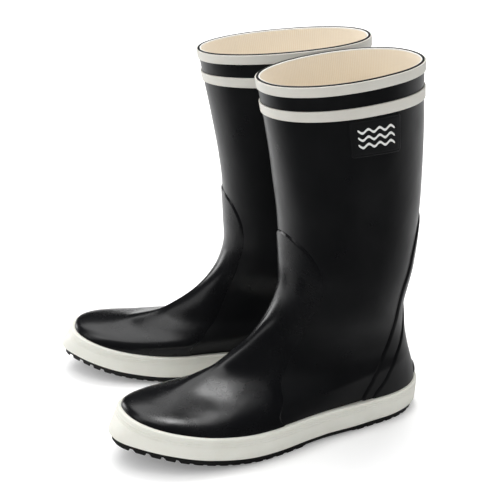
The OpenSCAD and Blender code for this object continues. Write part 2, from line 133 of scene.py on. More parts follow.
def rounding(d, r, p):
    """Share of the half width that is left at distance d from an end rounded over r."""
    inside = np.clip(1 - np.clip(1 - d / r, 0, None) ** p, 0, None) ** (1 / p)
    blunt = (d + TIP_ROUND * (1 - d / r)) / np.clip(d, 0.01, None)
    return np.where(d >= r, 1.0, inside * np.abs(blunt) ** np.clip(1 / p - 0.5, 0, None))


def base(z, t):
    """Point on the outer face of the leg sheet, at ring height z and angle t from the front."""
    z, t = np.broadcast_arrays(np.asarray(z, float), np.asarray(t, float))
    more = mouth["now"] * ramp(MOUTH_START, BOOT_HEIGHT, z)
    back, front = curve(BACK, z) - more, curve(FRONT, z)
    a = np.radians(t)
    x = (back + front) / 2 + (front - back) / 2 * np.cos(a)
    heel, waist, ball = curve(HEEL, z), curve(WAIST, z), curve(BALL, z)
    half = (heel + (waist - heel) * ramp(*HEEL_TO_WAIST, x)
            + (ball - waist) * ramp(*WAIST_TO_BALL, x) + MOUTH_WIDER * more)
    half = half * rounding(x - back, curve(HEEL_ROUND, z) + more / 2, HEEL_POWER)
    half = half * rounding(front - x, curve(TOE_ROUND, z) + more / 2, curve(TOE_POWER, z))
    inset = TOE_INSET * (np.clip(x - INSET_START, 0, None) / INSET_RUN) ** 2
    middle = (MOUTH_SHIFT * more - inset * (1 - ramp(50, 110, z))
              - curve(RIDGE, z) * ramp(60, 120, x))
    side = np.where(np.sin(a) >= 0, 1.0, -1.0)
    tilt = RIM_SLOPE * ramp(BOOT_HEIGHT - SLOPE_RUN, BOOT_HEIGHT, z)
    return np.stack([x, middle + side * half, z + lift(x) - tilt * (x - SLOPE_CENTRE)], -1)


def unit(v):
    return v / np.linalg.norm(v, axis=-1, keepdims=True)


def normal(z, t):
    """Outward direction of base(), from points a little above, below and beside it."""
    z = np.asarray(z, float)
    low, high = z - 0.5, z + 0.5
    ahead, behind = t + 1.5, t - 1.5
    across = base(low, ahead) + base(high, ahead) - base(low, behind) - base(high, behind)
    return unit(np.cross(across, base(high, t) - base(low, t)))


# Direction in radians per millimetre, phase and height of each wave.
WAVES = [((0.11, 0.05, 0.06), 0.3, 0.075), ((-0.04, 0.13, 0.08), 1.9, 0.06),
         ((0.09, -0.08, 0.14), 4.1, 0.05), ((0.19, 0.12, -0.07), 2.2, 0.035),
         ((-0.15, 0.17, 0.12), 5.3, 0.03), ((0.05, -0.21, 0.19), 0.9, 0.025),
         ((0.27, 0.09, 0.16), 3.6, 0.016), ((-0.12, 0.24, -0.22), 1.2, 0.014)]


def unevenness(p):
    """The slight unevenness of hand-laid rubber, in millimetres."""
    total = np.zeros(p.shape[:-1])
    for direction, phase, amount in WAVES:
        total = total + amount * np.sin(p @ np.array(direction) + phase)
    return total


def surface(z, t, offset):
    """Point at the given distance out from the leg sheet's face."""
    p = base(z, t)
    return p + normal(z, t) * (np.asarray(offset) + unevenness(p))[..., None]


# ---------------------------------------------------------------- meshes
def placed(side, p):
    """From a boot's own millimetres to metres where it stands in the pair."""
    p = np.array(p, float).reshape(-1, 3)
    sign = 1 if side == "left" else -1
    a = math.radians(SPLAY)
    x, y = p[:, 0] - PIVOT, p[:, 1]
    gx = PAIR_X + math.cos(a) * x - math.sin(a) * y + (0 if side == "left" else RIGHT_LEAD)
    gy = sign * (PAIR_HALF_GAP + math.sin(a) * x + math.cos(a) * y)
    return np.stack([gx, gy, p[:, 2]], 1) / 1000


def quads(index, wrap_rows=False, wrap_columns=False):
    """Faces of a grid of vertex numbers; columns run round the boot and rows run upwards."""
    if wrap_rows:
        index = np.vstack([index, index[:1]])
    if wrap_columns:
        index = np.hstack([index, index[:, :1]])
    f = np.stack([index[:-1, :-1], index[:-1, 1:], index[1:, 1:], index[1:, :-1]], -1)
    return f.reshape(-1, 4)


MATERIALS = {}


def piece(side, node, points, faces, material, uv=None):
    """One finished mesh that rides on its boot and stands for its CAD node."""
    faces = [list(map(int, face)) for face in faces]
    if side == "right":
        faces = [face[::-1] for face in faces]
    name = f"{side}_{node}_detail"
    me = bpy.data.meshes.new(name)
    me.from_pydata(placed(side, points).tolist(), [], faces)
    me.validate()
    me.update()
    me.polygons.foreach_set("use_smooth", np.ones(len(me.polygons), bool))
    if uv is not None:
        layer = me.uv_layers.new(name="UVMap")
        at = np.empty(len(me.loops), np.int32)
        me.loops.foreach_get("vertex_index", at)
        layer.data.foreach_set("uv", np.asarray(uv, np.float32).reshape(-1, 2)[at].ravel())
    me.materials.append(MATERIALS[material])
    o = bpy.data.objects.new(name, me)
    bpy.context.scene.collection.objects.link(o)
    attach(o, f"{side}_boot")
    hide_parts(f"{side}_{node}")
    return o


def dense_ends(n):
    """n + 1 shares from 0 to 1, closer together at both ends."""
    u = np.linspace(0, 1, n + 1)
    return 0.5 * (0.5 - 0.5 * np.cos(math.pi * u)) + 0.5 * u


ARC_RADIUS = 45.0


def arc_uv(z, t):
    """Texture place in millimetres: round the leg and up it."""
    z, t = np.broadcast_arrays(z, t)
    return np.stack([np.radians(t) * ARC_RADIUS, z], -1)


def both_faces_uv(z, t):
    """The same texture place for the outer and the inner grid of a sheet."""
    return np.concatenate([arc_uv(z, t).reshape(-1, 2)] * 2)


def edge_distance(points, line):
    """Distance in space from each point to a polyline."""
    p = points.reshape(-1, 3)
    a, d = line[:-1], line[1:] - line[:-1]
    length = np.maximum((d * d).sum(1), 1e-9)
    out = np.empty(len(p))
    chunk = 2000
    for i in range(0, len(p), chunk):
        v = p[i:i + chunk, None, :] - a[None]
        s = np.clip((v * d).sum(-1) / length, 0, 1)
        out[i:i + chunk] = np.sqrt(((v - s[..., None] * d) ** 2).sum(-1).min(1))
    return out.reshape(points.shape[:-1])


def soft_step(d, width):
    """0 at an edge, 1 from `width` inwards, like a thin sheet rolled down at its edge."""
    s = np.clip(d / width, 0, 1)
    return np.sin(s * math.pi / 2) ** 0.85


def closed_sheet(outer, inner):
    """Vertices and faces of a sheet with an outer and an inner grid of the same size."""
    m, w = outer.shape[:2]
    a = np.arange(m * w).reshape(m, w)
    b = a + m * w
    rim = np.concatenate([a[0, ::-1], a[:, 0], a[-1, :], a[::-1, -1]])
    back = rim + m * w
    keep = rim[:-1] != rim[1:]
    strip = np.stack([rim[:-1], rim[1:], back[1:], back[:-1]], -1)[keep]
    closing = [[rim[-1], rim[0], back[0], back[-1]]] if rim[-1] != rim[0] else []
    faces = np.vstack([quads(a), quads(b)[:, ::-1], strip] + ([closing] if closing else []))
    return np.vstack([outer.reshape(-1, 3), inner.reshape(-1, 3)]), faces


EDGE_TUCK, SHEET_SINK = 0.12, 0.35


def overlay(side, node, heights, low, high, thickness, width, columns, material, under=0.0):
    """A sheet laid on the last between two seams, rolled down at its side and top edges."""
    u = dense_ends(columns)
    a, b = low(heights)[:, None], high(heights)[:, None]
    t = a + (b - a) * u[None]
    z = np.repeat(heights[:, None], columns + 1, 1)
    p = base(z, t)
    line = np.vstack([p[:, 0], p[-1, 1:-1], p[::-1, -1]])
    rise = soft_step(edge_distance(p, line), width(z) if callable(width) else width)
    outer = surface(z, t, under - EDGE_TUCK + (thickness + EDGE_TUCK - under) * rise)
    points, faces = closed_sheet(outer, surface(z, t, -SHEET_SINK))
    piece(side, node, points, faces, material, both_faces_uv(z, t))


AROUND = np.linspace(0, 360, 260, endpoint=False)


def grid_numbers(points):
    """Vertex numbers of a grid of points."""
    return np.arange(points.shape[0] * points.shape[1]).reshape(points.shape[:2])


def ring_sweep(side, node, profile, material):
    """A closed profile of (height, offset) pairs swept right round the leg."""
    z = np.array([p[0] for p in profile])[:, None]
    off = np.array([p[1] for p in profile])[:, None]
    t = AROUND[None]
    points = surface(z + 0 * t, t + 0 * z, off + 0 * t)
    piece(side, node, points, quads(grid_numbers(points), True, True), material,
          arc_uv(z, t))


def band_profile(bottom, top, inner, outer, r):
    """A flat band with rounded outer edges."""
    steps = [math.radians(a) for a in (0, 30, 60, 90)]
    low = [(bottom + r - r * math.cos(a), outer - r + r * math.sin(a)) for a in steps]
    high = [(top - r + r * math.sin(a), outer - r + r * math.cos(a)) for a in steps]
    face = [(bottom + r + (top - bottom - 2 * r) * k / 6, outer) for k in range(1, 6)]
    return [(bottom, inner)] + low + face + high + [(top, inner)]


# ---------------------------------------------------------------- materials
class Nodes:
    """Short calls for building one material."""

    def __init__(self, name):
        self.material = bpy.data.materials.new(name)
        self.material.use_nodes = True
        self.tree = self.material.node_tree
        self.tree.nodes.clear()
        self.out = self.tree.nodes.new("ShaderNodeOutputMaterial")
        self.shader = self.tree.nodes.new("ShaderNodeBsdfPrincipled")
        self.tree.links.new(self.shader.outputs[0], self.out.inputs["Surface"])
        self.where = self.tree.nodes.new("ShaderNodeTexCoord")
        MATERIALS[name] = self.material

    def link(self, a, b):
        self.tree.links.new(a, b)

    def set(self, **values):
        for key, value in values.items():
            self.shader.inputs[key.replace("_", " ")].default_value = value

    def noise(self, scale, detail, rough, stretch=None):
        n = self.tree.nodes.new("ShaderNodeTexNoise")
        n.inputs["Scale"].default_value = scale
        n.inputs["Detail"].default_value = detail
        n.inputs["Roughness"].default_value = rough
        at = self.where.outputs["Object"]
        if stretch:
            m = self.tree.nodes.new("ShaderNodeMapping")
            m.inputs["Scale"].default_value = stretch
            self.link(at, m.inputs["Vector"])
            at = m.outputs["Vector"]
        self.link(at, n.inputs["Vector"])
        return n.outputs["Fac"]

    def remap(self, value, a, b, c, d):
        """a to b becomes c to d."""
        n = self.tree.nodes.new("ShaderNodeMapRange")
        for key, x in zip(("From Min", "From Max", "To Min", "To Max"), (a, b, c, d)):
            n.inputs[key].default_value = x
        self.link(value, n.inputs["Value"])
        return n.outputs["Result"]

    def math(self, kind, a, b=None):
        n = self.tree.nodes.new("ShaderNodeMath")
        n.operation = kind
        for i, x in enumerate((a, b)):
            if x is None:
                continue
            if isinstance(x, (int, float)):
                n.inputs[i].default_value = x
            else:
                self.link(x, n.inputs[i])
        return n.outputs[0]

    def mix(self, factor, a, b):
        n = self.tree.nodes.new("ShaderNodeMix")
        n.data_type = "RGBA"
        self.link(factor, n.inputs["Factor"])
        for key, x in (("A", a), ("B", b)):
            socket = [s for s in n.inputs if s.name == key and s.type == "RGBA"][0]
            if isinstance(x, tuple):
                socket.default_value = (*x, 1)
            else:
                self.link(x, socket)
        return [s for s in n.outputs if s.type == "RGBA"][0]

    def bump(self, *layers):
        """layers: (height, strength, distance in metres), one on top of the other."""
        below = None
        for height, strength, distance in layers:
            n = self.tree.nodes.new("ShaderNodeBump")
            n.inputs["Strength"].default_value = strength
            n.inputs["Distance"].default_value = distance
            self.link(height, n.inputs["Height"])
            if below:
                self.link(below, n.inputs["Normal"])
            below = n.outputs["Normal"]
        self.link(below, self.shader.inputs["Normal"])

    def axis(self, source, which):
        n = self.tree.nodes.new("ShaderNodeSeparateXYZ")
        self.link(self.where.outputs[source], n.inputs[0])
        return n.outputs[which]


def make_rubber(name, dark, light, gloss, grain=0.10):
    """Lacquered rubber: cloudy, with fine specks of dust and soft dents."""
    n = Nodes(name)
    cloud = n.noise(26, 4, 0.6)
    speck = n.noise(420, 2, 0.6)
    colour = n.mix(n.remap(cloud, 0.35, 0.75, 0, 1), dark, light)
    dust = n.math("MULTIPLY", n.remap(speck, 0.62, 0.78, 0, 1), n.remap(cloud, 0.4, 0.7, 0, 0.12))
    n.link(n.mix(dust, colour, tuple(2 * c + 0.004 for c in light)), n.shader.inputs["Base Color"])
    rough = n.math("ADD", n.remap(n.noise(60, 4, 0.55), 0.3, 0.7, gloss, gloss + 0.09),
                   n.remap(speck, 0.5, 0.8, 0, 0.0175))
    n.link(rough, n.shader.inputs["Roughness"])
    n.set(Specular_IOR_Level=0.34)
    n.bump((n.noise(48, 2, 0.5), 0.5, 0.0004), (n.noise(170, 2, 0.5), 0.35, 0.00012),
           (n.noise(1500, 2, 0.6), grain, 0.00005))


def make_white_rubber(name, clean, shade, soil_top=0.0):
    """Off-white rubber, slightly soiled up to the height soil_top in metres."""
    n = Nodes(name)
    cloud = n.noise(38, 4, 0.6)
    colour = n.mix(n.remap(cloud, 0.3, 0.75, 0, 1), clean, shade)
    if soil_top:
        height = n.axis("Object", "Z")
        soil = n.math("MULTIPLY", n.remap(height, 0.004, soil_top, 0.35, 0),
                      n.remap(n.noise(120, 4, 0.65), 0.4, 0.75, 0.1, 1))
        colour = n.mix(soil, colour, (0.42, 0.39, 0.33))
    speck = n.math("MULTIPLY", n.remap(n.noise(700, 2, 0.5), 0.66, 0.74, 0, 1),
                   n.remap(cloud, 0.4, 0.7, 0, 0.25))
    n.link(n.mix(speck, colour, (0.35, 0.33, 0.29)), n.shader.inputs["Base Color"])
    n.link(n.remap(n.noise(90, 3, 0.5), 0.3, 0.7, 0.36, 0.5), n.shader.inputs["Roughness"])
    n.set(Specular_IOR_Level=0.4, Subsurface_Weight=0.04, Subsurface_Scale=0.002)
    n.bump((n.noise(240, 2, 0.5), 0.25, 0.0001), (n.noise(1800, 2, 0.6), 0.12, 0.00005))


WALE, COURSE = 1.15, 0.95


def make_knit(name, yarn, gap, painted_highlight_above=None):
    """Fine jersey: the texture runs in millimetres round and up the leg, from the mesh's UV."""
    n = Nodes(name)
    u, v = n.axis("UV", "X"), n.axis("UV", "Y")
    wale = n.math("ABSOLUTE", n.math("SINE", n.math("MULTIPLY", u, math.pi / WALE)))
    lean = n.math("MULTIPLY", n.math("PINGPONG", u, WALE / 2), 1.5)
    course = n.math("SINE", n.math("MULTIPLY", n.math("ADD", v, lean), 2 * math.pi / COURSE))
    stitch = n.math("MULTIPLY", wale, n.remap(course, -1, 1, 0.45, 1))
    cloud = n.noise(30, 4, 0.6)
    fuzz = n.noise(900, 3, 0.7)
    colour = n.mix(n.remap(stitch, 0.1, 0.8, 0, 1), gap, yarn)
    colour = n.mix(n.remap(cloud, 0.3, 0.75, 0, 0.35), colour, tuple(0.9 * c for c in yarn))
    # Painted highlight: above the given height the knit turns pale, standing for a highlight along
    # the lining's top edge at the rim.
    if painted_highlight_above:
        edge = n.remap(v, painted_highlight_above - 0.25, painted_highlight_above + 0.1, 0, 1)
        colour = n.mix(edge, colour, (0.82, 0.81, 0.77))
    n.link(colour, n.shader.inputs["Base Color"])
    n.link(n.remap(fuzz, 0.3, 0.7, 0.78, 0.95), n.shader.inputs["Roughness"])
    n.set(Specular_IOR_Level=0.2, Sheen_Weight=0.25, Sheen_Roughness=0.5)
    n.bump((n.noise(60, 3, 0.5), 0.35, 0.0004), (stitch, 0.55, 0.00022), (fuzz, 0.3, 0.0001))


def make_felt(name, fibre, shade):
    """Pressed fibres, for the footbed and the board."""
    n = Nodes(name)
    fine = n.noise(1300, 4, 0.7)
    strands = n.noise(260, 4, 0.7, stretch=(1, 2.6, 1))
    colour = n.mix(n.remap(strands, 0.35, 0.7, 0, 1), shade, fibre)
    n.link(n.mix(n.remap(fine, 0.35, 0.7, 0, 0.4), colour, fibre), n.shader.inputs["Base Color"])
    n.link(n.remap(fine, 0.3, 0.7, 0.8, 0.97), n.shader.inputs["Roughness"])
    n.set(Specular_IOR_Level=0.15, Sheen_Weight=0.3)
    n.bump((strands, 0.4, 0.0003), (fine, 0.5, 0.00015))


THREAD_PITCH = 0.0012


def make_sheeting(name, thread, gap):
    """Woven cloth skimmed with rubber, for the stiffeners."""
    n = Nodes(name)
    x, z = n.axis("Object", "X"), n.axis("Object", "Z")
    warp = n.math("SINE", n.math("MULTIPLY", x, 2 * math.pi / THREAD_PITCH))
    weft = n.math("SINE", n.math("MULTIPLY", z, 2 * math.pi / THREAD_PITCH))
    weave = n.math("MULTIPLY", warp, weft)
    n.link(n.mix(n.remap(weave, -0.6, 0.8, 0, 1), gap, thread), n.shader.inputs["Base Color"])
    n.link(n.remap(n.noise(200, 3, 0.5), 0.3, 0.7, 0.6, 0.8), n.shader.inputs["Roughness"])
    n.bump((weave, 0.4, 0.0002))


make_rubber("rubber_leg", (0.0045, 0.0048, 0.0056), (0.0075, 0.0078, 0.0088), 0.27)
make_rubber("rubber_vamp", (0.0042, 0.0044, 0.0052), (0.0070, 0.0073, 0.0083), 0.21)
make_rubber("rubber_heel", (0.0045, 0.0047, 0.0055), (0.0080, 0.0083, 0.0092), 0.29)
make_rubber("rubber_badge", (0.0060, 0.0063, 0.0072), (0.0100, 0.0104, 0.0115), 0.36, grain=0.3)
make_rubber("rubber_sole", (0.0060, 0.0060, 0.0062), (0.0120, 0.0118, 0.0115), 0.5, grain=0.5)
make_rubber("rubber_filler", (0.030, 0.024, 0.018), (0.060, 0.050, 0.040), 0.7, grain=0.8)
make_white_rubber("white_band", (0.62, 0.605, 0.555), (0.57, 0.555, 0.505))
make_white_rubber("white_foxing", (0.74, 0.74, 0.68), (0.68, 0.675, 0.61), soil_top=0.012)
make_white_rubber("white_print", (0.80, 0.80, 0.78), (0.72, 0.72, 0.70))
# The pale top edge of the leg lining is a painted highlight.
make_knit("knit_leg", (0.96, 0.885, 0.76), (0.90, 0.79, 0.63), painted_highlight_above=256.7)
make_knit("knit_foot", (0.74, 0.61, 0.43), (0.58, 0.46, 0.31))
make_felt("felt_footbed", (0.66, 0.54, 0.38), (0.52, 0.41, 0.28))
make_felt("fibre_board", (0.40, 0.28, 0.17), (0.30, 0.20, 0.12))
make_sheeting("stiff_cloth", (0.075, 0.075, 0.08), (0.03, 0.03, 0.032))


# ---------------------------------------------------------------- the pieces of one boot
def stack_rows(*spans):
    """Heights from spans (start, end, step), each without its end, and the last end added."""
    rows = [np.linspace(a, b, max(1, round((b - a) / s)), endpoint=False) for a, b, s in spans]
    return np.concatenate(rows + [[spans[-1][1]]])


RIM_RADIUS = 0.75


def build_leg(side):
    """The leg sheet: open at the front under the vamp, a tube above, rounded at the rim."""
    columns = 250
    low = stack_rows((UPPER_BOTTOM, 24, 1.6), (24, JOIN_TOP, 1.3))[:-1]
    high = stack_rows((JOIN_TOP, BOOT_HEIGHT - RIM_RADIUS, 1.7))
    turn = np.radians([30, 60, 90])
    z = np.concatenate([low, high, BOOT_HEIGHT - RIM_RADIUS + RIM_RADIUS * np.sin(turn)])
    flat = 0 * np.concatenate([low, high])
    off_out = np.concatenate([flat, -RIM_RADIUS + RIM_RADIUS * np.cos(turn)])
    off_in = np.concatenate([flat - SHEET, -RIM_RADIUS - RIM_RADIUS * np.cos(turn)])
    a = np.where(z < JOIN_TOP, curve(JOIN_OUT, z), 0)[:, None]
    b = np.where(z < JOIN_TOP, 360 - curve(JOIN_IN, z), 360)[:, None]
    t = a + (b - a) * np.linspace(0, 1, columns + 1)
    outer = surface(z[:, None] + 0 * t, t, off_out[:, None] + 0 * t)
    inner = surface(z[:, None] + 0 * t, t, off_in[:, None] + 0 * t)
    # i numbers the outer grid and j the inner one; both close into a tube above the opening.
    i = grid_numbers(outer)
    i[z >= JOIN_TOP, -1] = i[z >= JOIN_TOP, 0]
    j = i + i.size
    j[-1] = i[-1]
    k = int((z < JOIN_TOP).sum())
    walls = [np.stack([i[1:k + 1, 0], i[:k, 0], j[:k, 0], j[1:k + 1, 0]], -1),
             np.stack([j[1:k + 1, -1], j[:k, -1], i[:k, -1], i[1:k + 1, -1]], -1)]
    bottom = np.stack([i[0, 1:], i[0, :-1], j[0, :-1], j[0, 1:]], -1)
    faces = np.vstack([quads(i), quads(j)[:, ::-1], bottom] + walls)
    points = np.vstack([outer.reshape(-1, 3), inner.reshape(-1, 3)])
    piece(side, "leg", points, faces, "rubber_leg", both_faces_uv(z[:, None], t))


def build_vamp(side):
    """The outer vamp: a crisp edge at the top and at the foxing, faded in between."""
    rows = stack_rows((UPPER_BOTTOM, 18, 1.5), (18, 60, 0.9), (60, 120, 1.2), (120, 140, 0.7),
                      (140, SEAM_TOP, 0.35))

    def edge_width(z):
        crisp, fade = 2.4, 7.5
        return crisp + fade * (1 - ramp(108, 126, z)) * ramp(22, 42, z)

    overlay(side, "vamp", rows, lambda z: -curve(SEAM_IN, z), lambda z: curve(SEAM_OUT, z),
            COVER, edge_width, 150, "rubber_vamp")


def build_heel(side):
    """The heel guard, which narrows up the back seam, and the smaller cap laid on it."""
    rows = stack_rows((UPPER_BOTTOM, 20, 1.5), (20, 80, 1.0), (80, 140, 1.3),
                      (140, GUARD_TOP, 0.4))
    overlay(side, "heel_guard", rows, lambda z: 180 - curve(GUARD_HALF, z),
            lambda z: 180 + curve(GUARD_HALF, z), GUARD_OUT, 2.4, 110, "rubber_heel")
    rows = stack_rows((UPPER_BOTTOM, 20, 1.5), (20, 80, 0.9), (80, CAP_TOP, 0.35))
    overlay(side, "heel_cap", rows, lambda z: 180 - curve(CAP_HALF, z),
            lambda z: 180 + curve(CAP_HALF, z), CAP_OUT, 2.2, 96, "rubber_heel",
            under=GUARD_OUT)


SPUR_BOTTOM, SPUR_TOP, SPUR_HALF, SPUR_OUT = 22.5, 34.0, 17.0, 2.1


def build_spur(side):
    """The ledge that the other foot pushes on."""
    rows = stack_rows((SPUR_BOTTOM, SPUR_TOP, 0.45))
    z, s = np.meshgrid(rows, np.linspace(-1, 1, 61), indexing="ij")
    t = 180 + SPUR_HALF * s
    across = (1 - np.abs(s) ** 4) ** 0.5
    shape = ramp(SPUR_BOTTOM, 24.6, z) * (1 - ramp(27.5, SPUR_TOP, z)) * across
    outer = surface(z, t, CAP_OUT - 0.35 + SPUR_OUT * shape)
    points, faces = closed_sheet(outer, surface(z, t, CAP_OUT - 0.9))
    piece(side, "kick_off_spur", points, faces, "rubber_heel",
          both_faces_uv(z, t))


TRIM_BELOW_RIM, BAND_SINK = 0.8, -0.1


def build_bands(side):
    """The two white bands, with a dark gap between them."""
    ring_sweep(side, "top_trim",
               band_profile(BOOT_HEIGHT - TRIM_HEIGHT, BOOT_HEIGHT - TRIM_BELOW_RIM, BAND_SINK,
                            COVER, 0.4), "white_band")
    top = BOOT_HEIGHT - TRIM_HEIGHT - TRIM_GAP
    ring_sweep(side, "collar_stripe",
               band_profile(top - TRIM_HEIGHT, top, BAND_SINK, COVER, 0.45), "white_band")


LINING_BELOW_RIM, LINING_INSIDE = 0.55, -SHEET - 0.85


def build_linings(side):
    """Leg lining with its cut edge at the rim, and the sock lining of the foot."""
    top = BOOT_HEIGHT - LINING_BELOW_RIM
    outer = [(z, -SHEET - 0.05) for z in np.arange(JOIN_TOP, top - 0.6, 2.0)]
    edge = [(top - 0.25, -SHEET - 0.06), (top + 0.05, -SHEET - 0.3), (top, -SHEET - 0.65),
            (top - 0.35, LINING_INSIDE)]
    inner = [(z, LINING_INSIDE) for z in np.arange(top - 1.2, JOIN_TOP, -2.0)]
    ring_sweep(side, "leg_lining", outer + edge + inner + [(JOIN_TOP, LINING_INSIDE)],
               "knit_leg")

    def depth(z):
        """The foot's lining lies deeper, behind the stiffeners."""
        return -2.3 - 2.0 * (1 - ramp(112, 138, z))

    rows = stack_rows((BOARD_TOP + 0.3, 60, 1.6), (60, JOIN_TOP + 1.5, 1.6))
    profile = ([(z, depth(z)) for z in rows] + [(rows[-1] + 0.3, depth(200) - 0.3)]
               + [(z, depth(z) - 0.6) for z in rows[::-1]])
    ring_sweep(side, "foot_lining", profile, "knit_foot")


def outline(offset, z=8.0, n=90):
    """Outline of the foot at height z: x, outer y, inner y and rise, from heel to toe."""
    t = 180 - 5 - np.linspace(0, 1, n + 1) * 170
    a = base(z, t) + normal(z, t) * offset
    b = base(z, -t) + normal(z, -t) * offset
    x = np.linspace(a[0, 0], a[-1, 0], 3 * n)
    return x, np.interp(x, a[:, 0], a[:, 1]), np.interp(x, b[:, 0], b[:, 1]), lift(x)


FOOTBED_INSET, FOOTBED_END, CUP, CROWN = -5.6, 9, 1.4, 0.5


def build_footbed(side):
    """A moulded felt insole: crowned, cupped at the heel, rolled over at its edge."""
    x, left, right, rise = outline(FOOTBED_INSET)
    from_heel = np.clip((x - x[0]) / FOOTBED_END, 0, 1)
    from_toe = np.clip((x[-1] - x) / FOOTBED_END, 0, 1)
    ends = np.sqrt(np.clip(1 - (1 - from_heel) ** 2, 0, 1))
    ends = ends * np.sqrt(np.clip(1 - (1 - from_toe) ** 2, 0, 1))
    mid = (left + right) / 2
    half = np.maximum((left - right) / 2 * (0.15 + 0.85 * ends), 0.3)
    a = np.radians(np.linspace(0, 360, 72, endpoint=False))
    across = np.sign(np.cos(a)) * np.abs(np.cos(a)) ** 0.35
    up = np.sign(np.sin(a)) * np.abs(np.sin(a)) ** 0.55
    y = mid[:, None] + half[:, None] * across
    cup = CUP * np.abs(across) ** 3 * (1 - ramp(60, 120, x))[:, None]
    crown = CROWN * ramp(70, 100, x) * (1 - ramp(120, 165, x))
    low, high = BOARD_TOP + 0.2, FOOTBED_TOP - 0.6
    z = (low + high) / 2 + (high - low) / 2 * up + np.where(up > 0, cup + crown[:, None], 0) * up
    points = np.stack([x[:, None] + 0 * y, y, z + rise[:, None]], -1)
    index = grid_numbers(points)
    faces = quads(index, False, True)[:, ::-1].tolist()
    # A fan of triangles closes each end, round a point in its middle.
    points = np.vstack([points.reshape(-1, 3), [points[0].mean(0)], [points[-1].mean(0)]])
    k, m = len(points), len(a)
    faces += [[index[0, c], index[0, (c + 1) % m], k - 2] for c in range(m)]
    faces += [[index[-1, (c + 1) % m], index[-1, c], k - 1] for c in range(m)]
    piece(side, "footbed", points, faces, "felt_footbed")


def foxing_face(x):
    """How far the foxing stands out from the upper, a little more at the heel."""
    return FOXING_PROUD + FOXING_HEEL_MORE * (1 - ramp(60, 90, x))


def flare(x, n):
    """Grows towards the tip, and only where the outline faces forward."""
    return TOE_FLARE * ramp(125, 212, x) * np.clip(n[..., 0], 0, None) ** FLARE_POWER


def flat_normal(z, t):
    """normal() without its upward part."""
    return unit(normal(z, t)[..., :2])


# Share of the toe's flare at each height, and the heights of the fine lines.
SHARES = np.array([(FOXING_BOTTOM, 1.0), (11.4, 0.5), (17.0, 0.08), (21.2, 0.0),
                   (FOXING_TOP, 0.0)])
LINES = [16.3, 17.9, 19.5]
LINE_DEPTH, LINE_HALF = 0.28, 0.2
# The lap joint: where it lies, and how far it stands out.
LAP_ANGLE, LAP_HEIGHT, LAP_FADE = 118, 0.5, 7.0


def rounded_edge(share):
    """0 at share 0, 1 at share 1, along a quarter circle."""
    return 1 - np.sqrt(np.clip(1 - np.clip(share, 0, 1) ** 2, 0, 1))


def build_foxing(side):
    """The rubber wall round the sole: fine lines near its top, a lap joint, flared at the toe."""
    z = np.concatenate([np.linspace(FOXING_BOTTOM, 15.6, 22), np.linspace(15.75, 20.2, 46),
                        np.linspace(20.35, FOXING_TOP, 14)])
    inset = np.zeros_like(z)
    for line in LINES:
        inset += LINE_DEPTH * np.exp(-((z - line) / LINE_HALF) ** 4)
    inset += 0.75 * rounded_edge((z - 21.1) / 0.9)
    inset += 0.6 * rounded_edge((6.1 - z) / 0.7)
    t = np.linspace(0, 360, 420, endpoint=False)
    zz, tt = np.meshgrid(z, t, indexing="ij")
    outer = base(zz, tt)
    x, y = outer[..., 0], outer[..., 1]
    n = flat_normal(zz, tt)
    share = np.interp(zz, SHARES[:, 0], SHARES[:, 1])
    height = FOXING_TOP - FOXING_BOTTOM
    share = share + 0.05 * np.sin((zz - FOXING_BOTTOM) / height * math.pi) * ramp(150, 200, x)
    arc = (tt - LAP_ANGLE) * 0.62
    lap = LAP_HEIGHT * np.where(arc > 0, np.exp(-np.clip(arc, 0, None) / LAP_FADE),
                                np.exp(-(arc / 0.35) ** 2))
    wave = 0.09 * np.sin(x * 0.21 + 1.0) + 0.07 * np.sin(x * 0.083 + y * 0.11)
    out = (foxing_face(x) + flare(x, n) * share - inset[:, None]
           + lap * ramp(FOXING_BOTTOM, 8, zz) + wave)
    outer[..., :2] += n * out[..., None]
    z_in = np.array([21.9, 19.0, 14.0, 9.0, 5.45])
    zz, tt = np.meshgrid(z_in, t, indexing="ij")
    inner = base(zz, tt)
    inner[..., :2] += flat_normal(zz, tt) * -FOXING_SINK
    points = np.concatenate([outer, inner])
    piece(side, "foxing", points, quads(grid_numbers(points), True, True), "white_foxing",
          arc_uv(np.concatenate([z, z_in])[:, None], t[None]))


# Start and number of the bars under the heel and under the forefoot.
BAR_GROUPS = ((3.4, 7), (106.0, 14))
SIPE_HALF, SIPE_SWING, SIPE_WAVE, SIPE_SHARE = 0.38, 0.9, 9, 0.6
# The grooves are shallow at the sole's rim, except at the toe.
RIM_SHARE, ARCH_RISE = 0.72, 0.6


def tread(x, xx, y):
    """1 on the sole's bars and 0 in its grooves, with a fine wavy sipe in each bar."""
    bars = np.zeros_like(xx)
    from_rim = ramp(2, 4, np.abs(y - y[:, :1])) * ramp(2, 4, np.abs(y - y[:, -1:]))
    half = BAR_WIDTH / 2
    for start, count in BAR_GROUPS:
        for i in range(count):
            middle = start + i * BAR_PITCH + half + 0.15
            bar = 1 - ramp(half - 0.35, half + 0.35, np.abs(xx - middle))
            swing = SIPE_SWING * np.sin(y * 2 * math.pi / SIPE_WAVE)
            sipe = np.exp(-((xx - middle - swing) / SIPE_HALF) ** 4)
            bars = np.maximum(bars, bar * (1 - SIPE_SHARE * sipe * from_rim))
    ends = np.maximum(1 - ramp(x[0] + 4.4, x[0] + 5.2, xx), ramp(x[-1] - 5.4, x[-1] - 4.6, xx))
    return np.maximum(bars, ends)


